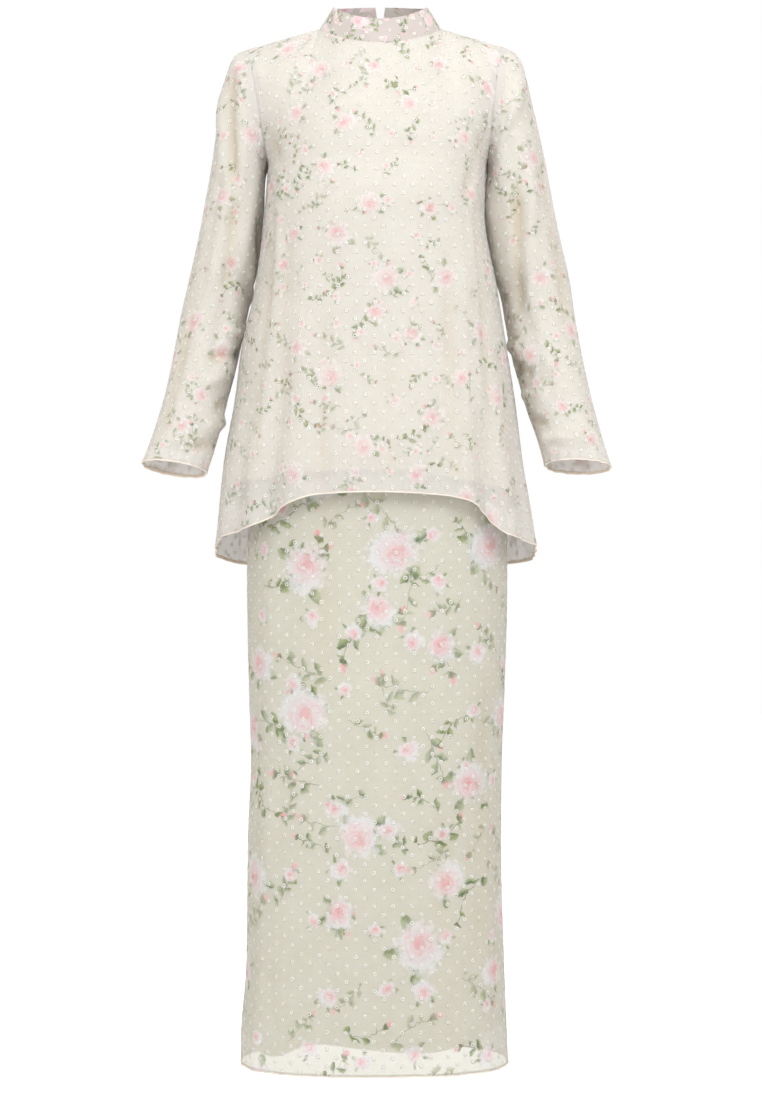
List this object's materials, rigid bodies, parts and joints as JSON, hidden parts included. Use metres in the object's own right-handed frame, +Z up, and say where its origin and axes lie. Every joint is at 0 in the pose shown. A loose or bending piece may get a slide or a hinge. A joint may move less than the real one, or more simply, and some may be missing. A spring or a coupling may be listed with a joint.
{
  "type": "blouse and skirt set",
  "caption": "Long-sleeved A-line blouse with a stand collar over a straight ankle-length skirt, sheer dotted floral cloth on a cream lining, in worn shape.",
  "frame": {"origin": "middle of the collar's base, where the wearer's neck and shoulders hold the set up", "axes": "+X to the viewer's right, front of the garment faces -Y, +Z up"},
  "size_m": [0.6045, 0.2958, 1.3784],
  "materials": {
    "dotted_chiffon": "sheer matt chiffon, cream with woven white dots and a small rose print",
    "cream_lining": "opaque smooth cream lining with a low sheen",
    "covered_trim": "cloth-covered button, thread loop and elastic casing, matt"
  },
  "bodies": {
    "root": {"blouse_front": "dotted_chiffon", "blouse_back": "dotted_chiffon", "sleeve_left": "dotted_chiffon", "sleeve_right": "dotted_chiffon", "collar": "dotted_chiffon", "neck_button": "covered_trim", "neck_loop": "covered_trim", "blouse_lining_front": "cream_lining", "blouse_lining_back": "cream_lining", "sleeve_lining_left": "cream_lining", "sleeve_lining_right": "cream_lining", "skirt_front": "dotted_chiffon", "skirt_back": "dotted_chiffon", "skirt_lining_front": "cream_lining", "skirt_lining_back": "cream_lining", "skirt_waistband": "covered_trim"}
  },
  "joints": []
}
